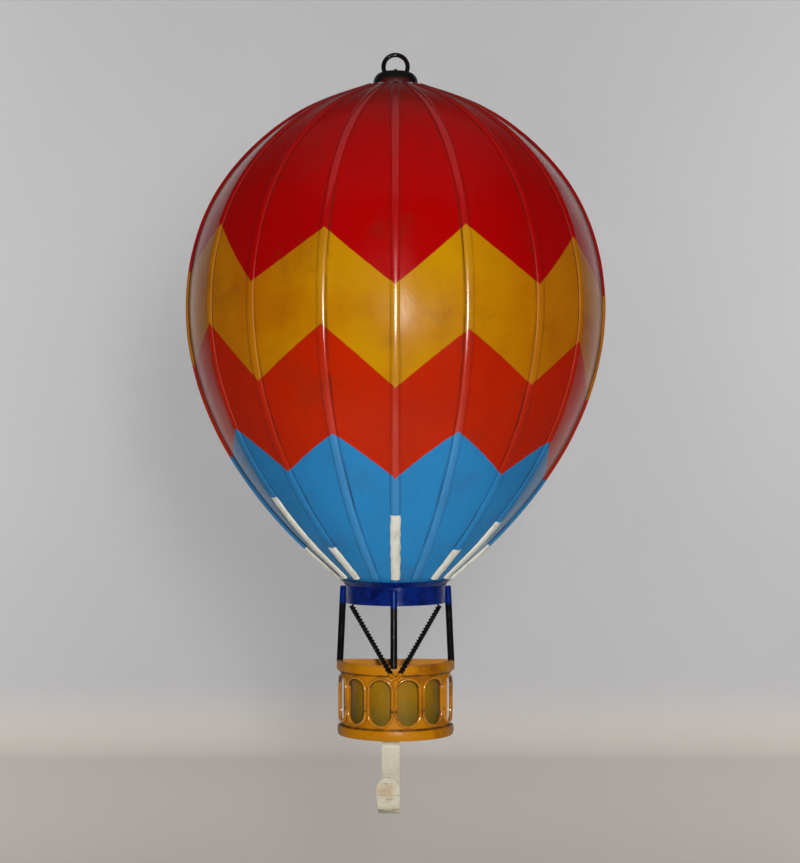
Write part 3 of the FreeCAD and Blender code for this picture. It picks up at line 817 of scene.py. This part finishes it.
STAY_RADIUS = 2.0 * MM
STAY_PITCH = 5.2 * MM  # length of one full turn of the wires


def stay_path(node):
    """Upper end, bend and lower end of a stay, from its CAD node; the bend is just above the top band."""
    co = np.array([v.co for v in NODES[node].data.vertices])
    foot, top = end_centres(node, 2.6 * MM)
    knee_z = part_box("basket_top_band")[1].z + 1.7 * MM
    near = [Vector(c) for c in co if abs(c[2] - knee_z) < 2.2 * MM]
    straight = foot.lerp(top, (knee_z - foot.z) / (top.z - foot.z))
    knee = sum(near, Vector()) / len(near) if near else straight
    return [top, knee, foot]


def make_stay(node, turn):
    """Two wires twisted together and painted over."""
    strand = STAY_RADIUS * 0.58
    line = path_through(stay_path(node), 0.45 * MM, 12)
    parts = []
    for half in (0, 1):
        rings, gone = [], 0.0
        for i, p in enumerate(line):
            way = way_at(line, i)
            gone += (p - line[i - 1]).length if i else 0
            u, v = frame_along(way)
            a = turn * 2 * math.pi * gone / STAY_PITCH + half * math.pi
            centre = p + (u * math.cos(a) + v * math.sin(a)) * (STAY_RADIUS - strand) * 0.95
            rings.append(circle_round(centre, way, strand, 12))
        parts.append(rings)
    first = tube(f"{node}_wire_a", parts[0])
    second = tube(f"{node}_wire_b", parts[1])
    for obj in (first, second):
        sharpen(obj, 60)
        obj.data.materials.append(STAY_PAINT)
    place(first, "black_enamel", node)
    place(second, "black_enamel")


make_stay("left_stay", 1)
make_stay("right_stay", -1)

# ---- Basket ----

BAND_EDGES = (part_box("basket_bottom_band")[1].z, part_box("basket_top_band")[0].z)
YELLOW_ENAMEL = enamel(
    "yellow_enamel", YELLOW, YELLOW_DARK, roughness=0.36, scale=42.0, specular=0.14, dark_lines_at=BAND_EDGES
)
RIM_ENAMEL = enamel("rim_enamel", YELLOW, YELLOW_DARK, roughness=0.15, coat=0.5, scale=60.0, groove=True)
# The liner's olive is painted shade for the basket's inside.
LINER_SHADE = shaded_liner_paint("liner_painted_shade", BASKET_LOW.z + 6 * MM, BASKET_HIGH.z - 8 * MM)
for node in ("basket_wall", "basket_top_band", "basket_bottom_band", "basket_back_plate", "basket_floor"):
    NODE_FINISHES[node] = YELLOW_ENAMEL
NODE_FINISHES["basket_liner"] = LINER_SHADE

BASKET_R = BASKET_HIGH.x
OVALS = sum(name.startswith("oval_rim_") for name in NODES)


def wrap_round(angle, radius, z):
    return Vector((radius * math.sin(angle), AXIS_Y - radius * math.cos(angle), z))


def oval_place(node):
    """Angle round the basket, height and half sizes of a rim's middle line, from its CAD node."""
    co = np.array([v.co for v in NODES[node].data.vertices])
    angles = np.arctan2(co[:, 0], AXIS_Y - co[:, 1])
    radii = np.hypot(co[:, 0], AXIS_Y - co[:, 1])
    wire = (radii.max() - radii.min()) / 2
    half_wide = (angles.max() - angles.min()) / 2 * (BASKET_R + wire) - wire
    half_tall = (co[:, 2].max() - co[:, 2].min()) / 2 - wire
    return (angles.max() + angles.min()) / 2, (co[:, 2].max() + co[:, 2].min()) / 2, half_wide, half_tall


def oval_point(share, half_wide, half_tall, grow):
    """Point (across, up) on an outline with straight sides and round ends; share goes once round."""
    radius, straight = half_wide + grow, half_tall - half_wide
    turn = 4 * (share % 1)
    along = (1 - abs(turn % 2 - 1)) * (straight + radius * math.pi / 2)
    bend = max(0.0, along - straight) / radius
    across, up = radius * math.cos(bend), min(along, straight) + radius * math.sin(bend)
    return (-across if 1 < turn < 3 else across), (up if turn < 2 else -up)


# Section of a rim from the opening outward: distance from the middle line, height above the wall, in mm.
RIM_SECTION = [
    (-1.15, -0.75), (-1.2, 0.1), (-0.95, 0.95), (-0.45, 1.55), (0.1, 1.7),
    (0.6, 1.45), (0.95, 0.95), (1.1, 0.45), (1.12, 0.06), (0.2, 0.05), (-0.55, -0.2), (-0.7, -0.75),
]
JOINT_DROP = 5.6 * MM  # the ends of a rim's wire meet this far below its middle
RIM_SHADOW_DEPTH = 6 * MM  # depth of the painted shadow under the top of an opening


def make_rim(number):
    """Rounded rim that rises from the opening and slopes down to the wall."""
    node = f"oval_rim_{number + 1}"
    angle, z, half_wide, half_tall = oval_place(node)
    turns = 96
    points, groove = [], []
    for i in range(turns):
        share = i / turns
        f = 2 * math.pi * share
        lump = 1 + 0.06 * wobble((math.cos(f), math.sin(f), number), 1.8, number)
        for out, up in RIM_SECTION:
            across, rise = oval_point(share, half_wide, half_tall, out * MM)
            radius = BASKET_R + up * MM * (lump if up > 0.2 else 1)
            points.append(wrap_round(angle + across / (BASKET_R + 1.1 * MM), radius, z + rise))
            joint = abs(rise + JOINT_DROP) < 0.7 * MM and across * angle < 0
            # Painted shadow: the rim's inner face is darkened near the top of each opening, where the rim
            # shades the liner.
            top_shadow = out < -0.5 and rise > half_tall - RIM_SHADOW_DEPTH
            groove.append(1.0 if joint or top_shadow or up in (0.06, -0.75) else 0.0)
    obj = tidy_normals(new_mesh(f"oval_flare_{number + 1}", points, closed_faces(turns, len(RIM_SECTION))))
    add_attribute(obj, "groove", groove)
    sharpen(obj, 70)
    obj.data.materials.append(RIM_ENAMEL)
    return place(obj, "yellow_enamel", node)


for number in range(OVALS):
    make_rim(number)


def make_drop():
    """Lumpy drop of solder below the stays."""
    low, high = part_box("solder_drop")
    middle_x, widest = (low.x + high.x) / 2, (high.x - low.x) / 2
    wall_y = AXIS_Y - BASKET_R
    rows, sides = 26, 20
    rings = []
    for i in range(rows):
        f = i / (rows - 1)
        z = high.z - (high.z - low.z) * f
        swelling = math.sin(math.pi * min(1, f * 1.15 + 0.04)) ** 0.55
        half = widest * (swelling if f < 0.4 else 1 - 0.72 * (f - 0.4) / 0.6)
        half *= 1 + 0.1 * wobble((0, 0, z), 300, 4)
        half = max(half, 0.12 * MM)
        ring = []
        for j in range(sides):
            a = 2 * math.pi * j / sides
            y = wall_y - half * 0.85 * math.sin(a) if math.sin(a) > 0 else wall_y - 0.05 * MM
            ring.append(Vector((middle_x + half * math.cos(a), y, z)))
        rings.append(ring)
    obj = tube("solder_blob", rings)
    obj.data.materials.append(YELLOW_ENAMEL)
    return place(obj, "yellow_enamel", "solder_drop")


make_drop()

# ---- Hook ----

HOOK_CREAM = cream_paint("hook_cream", (0.49, 0.465, 0.36), worn_z=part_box("hook_strip")[0].z + 16 * MM)
NODE_FINISHES["hook_strip"] = HOOK_CREAM
NODE_FINISHES["hook_rivets"] = HOOK_CREAM

# ---- Finishes and soft edges for the CAD nodes that stay ----


def dress(node, material, edge=0.0):
    obj = NODES[node]
    obj.data.materials.clear()
    obj.data.materials.append(material)
    if edge:
        bevel(obj, edge)


EDGES = {
    "hook_strip": 0.3 * MM,
    "basket_top_band": 0.25 * MM,
    "basket_bottom_band": 0.25 * MM,
    "mouth_collar": 0.22 * MM,
}
for node, material in NODE_FINISHES.items():
    dress(node, material, EDGES.get(node, 0.0))

# ---- Floor, light and surroundings ----


def make_floor():
    """Pale floor that turns up into a backdrop well behind the object."""
    z = CAD_BOX[0][2] - 0.28
    half, front, back, turn = 7.0, -5.0, 2.0, 0.12
    angles = np.linspace(0, math.pi / 2, 10)
    rows = [(front, z)] + [(back - turn + turn * math.sin(a), z + turn * (1 - math.cos(a))) for a in angles]
    rows.append((back, z + 4.5))
    points = [(x, y, h) for y, h in rows for x in (-half, half)]
    obj = new_mesh("floor", points, grid_faces(len(rows), 2))
    paint = Paint("floor_paint", roughness=0.75)
    wall = paint.ramp(paint.axis("Z"), z + 0.01, z + turn)
    plain = paint.mix(paint.ramp(paint.noise(1.3, 3.0), 0.3, 0.7), (0.64, 0.64, 0.655), (0.61, 0.61, 0.625))
    colour = paint.mix(wall, (0.80, 0.74, 0.68), plain)
    obj.data.materials.append(paint.finish(colour, None, paint.bump(paint.noise(90.0), 0.0005, 0.2)))


def add_light(name, place_at, target, size, power, colour=(1, 1, 1)):
    data = bpy.data.lights.new(name, "AREA")
    data.shape = "RECTANGLE"
    data.size, data.size_y = size
    data.energy = power
    data.color = colour
    obj = bpy.data.objects.new(name, data)
    obj.location = place_at
    way = Vector(target) - Vector(place_at)
    obj.rotation_euler = way.to_track_quat("-Z", "Y").to_euler()
    bpy.context.scene.collection.objects.link(obj)


def make_world():
    """Dim room, seen as plain pale grey where nothing stands in front of it."""
    world = bpy.data.worlds.new("studio")
    world.use_nodes = True
    tree = world.node_tree
    room = tree.nodes["Background"]
    room.inputs["Color"].default_value = (0.85, 0.9, 1.0, 1)
    room.inputs["Strength"].default_value = 0.055
    pale = tree.nodes.new("ShaderNodeBackground")
    pale.inputs["Color"].default_value = (0.55, 0.55, 0.57, 1)
    path = tree.nodes.new("ShaderNodeLightPath")
    choose = tree.nodes.new("ShaderNodeMixShader")
    tree.links.new(path.outputs["Is Camera Ray"], choose.inputs["Fac"])
    tree.links.new(room.outputs[0], choose.inputs[1])
    tree.links.new(pale.outputs[0], choose.inputs[2])
    tree.links.new(choose.outputs[0], tree.nodes["World Output"].inputs["Surface"])
    bpy.context.scene.world = world


def make_surroundings():
    make_world()
    centre = (0, 0, (CAD_BOX[0][2] + CAD_BOX[1][2]) / 2)
    add_light("key", (0.09, -1.5, -0.15), (0, 0, -0.24), (0.10, 0.20), 18.2, (1.0, 0.985, 0.95))
    add_light("ceiling", (0, -0.6, 1.5), centre, (2.6, 2.2), 6.5)
    add_light("left_fill", (-1.9, -0.5, -0.1), centre, (1.0, 1.4), 0.3, (0.93, 0.96, 1.0))
    add_light("right_fill", (1.9, -0.5, -0.1), centre, (1.0, 1.4), 0.3, (0.93, 0.96, 1.0))
    for side in (-1, 1):  # these face the backdrop, and stand behind the object
        x, z = side * 1.6, 0.3
        add_light(f"backdrop_light_{side + 2}", (x, 0.5, z), (x, 2.0, z), (0.9, 1.2), 19.5)


make_floor()
make_surroundings()
bpy.context.scene.view_settings.view_transform = "Standard"
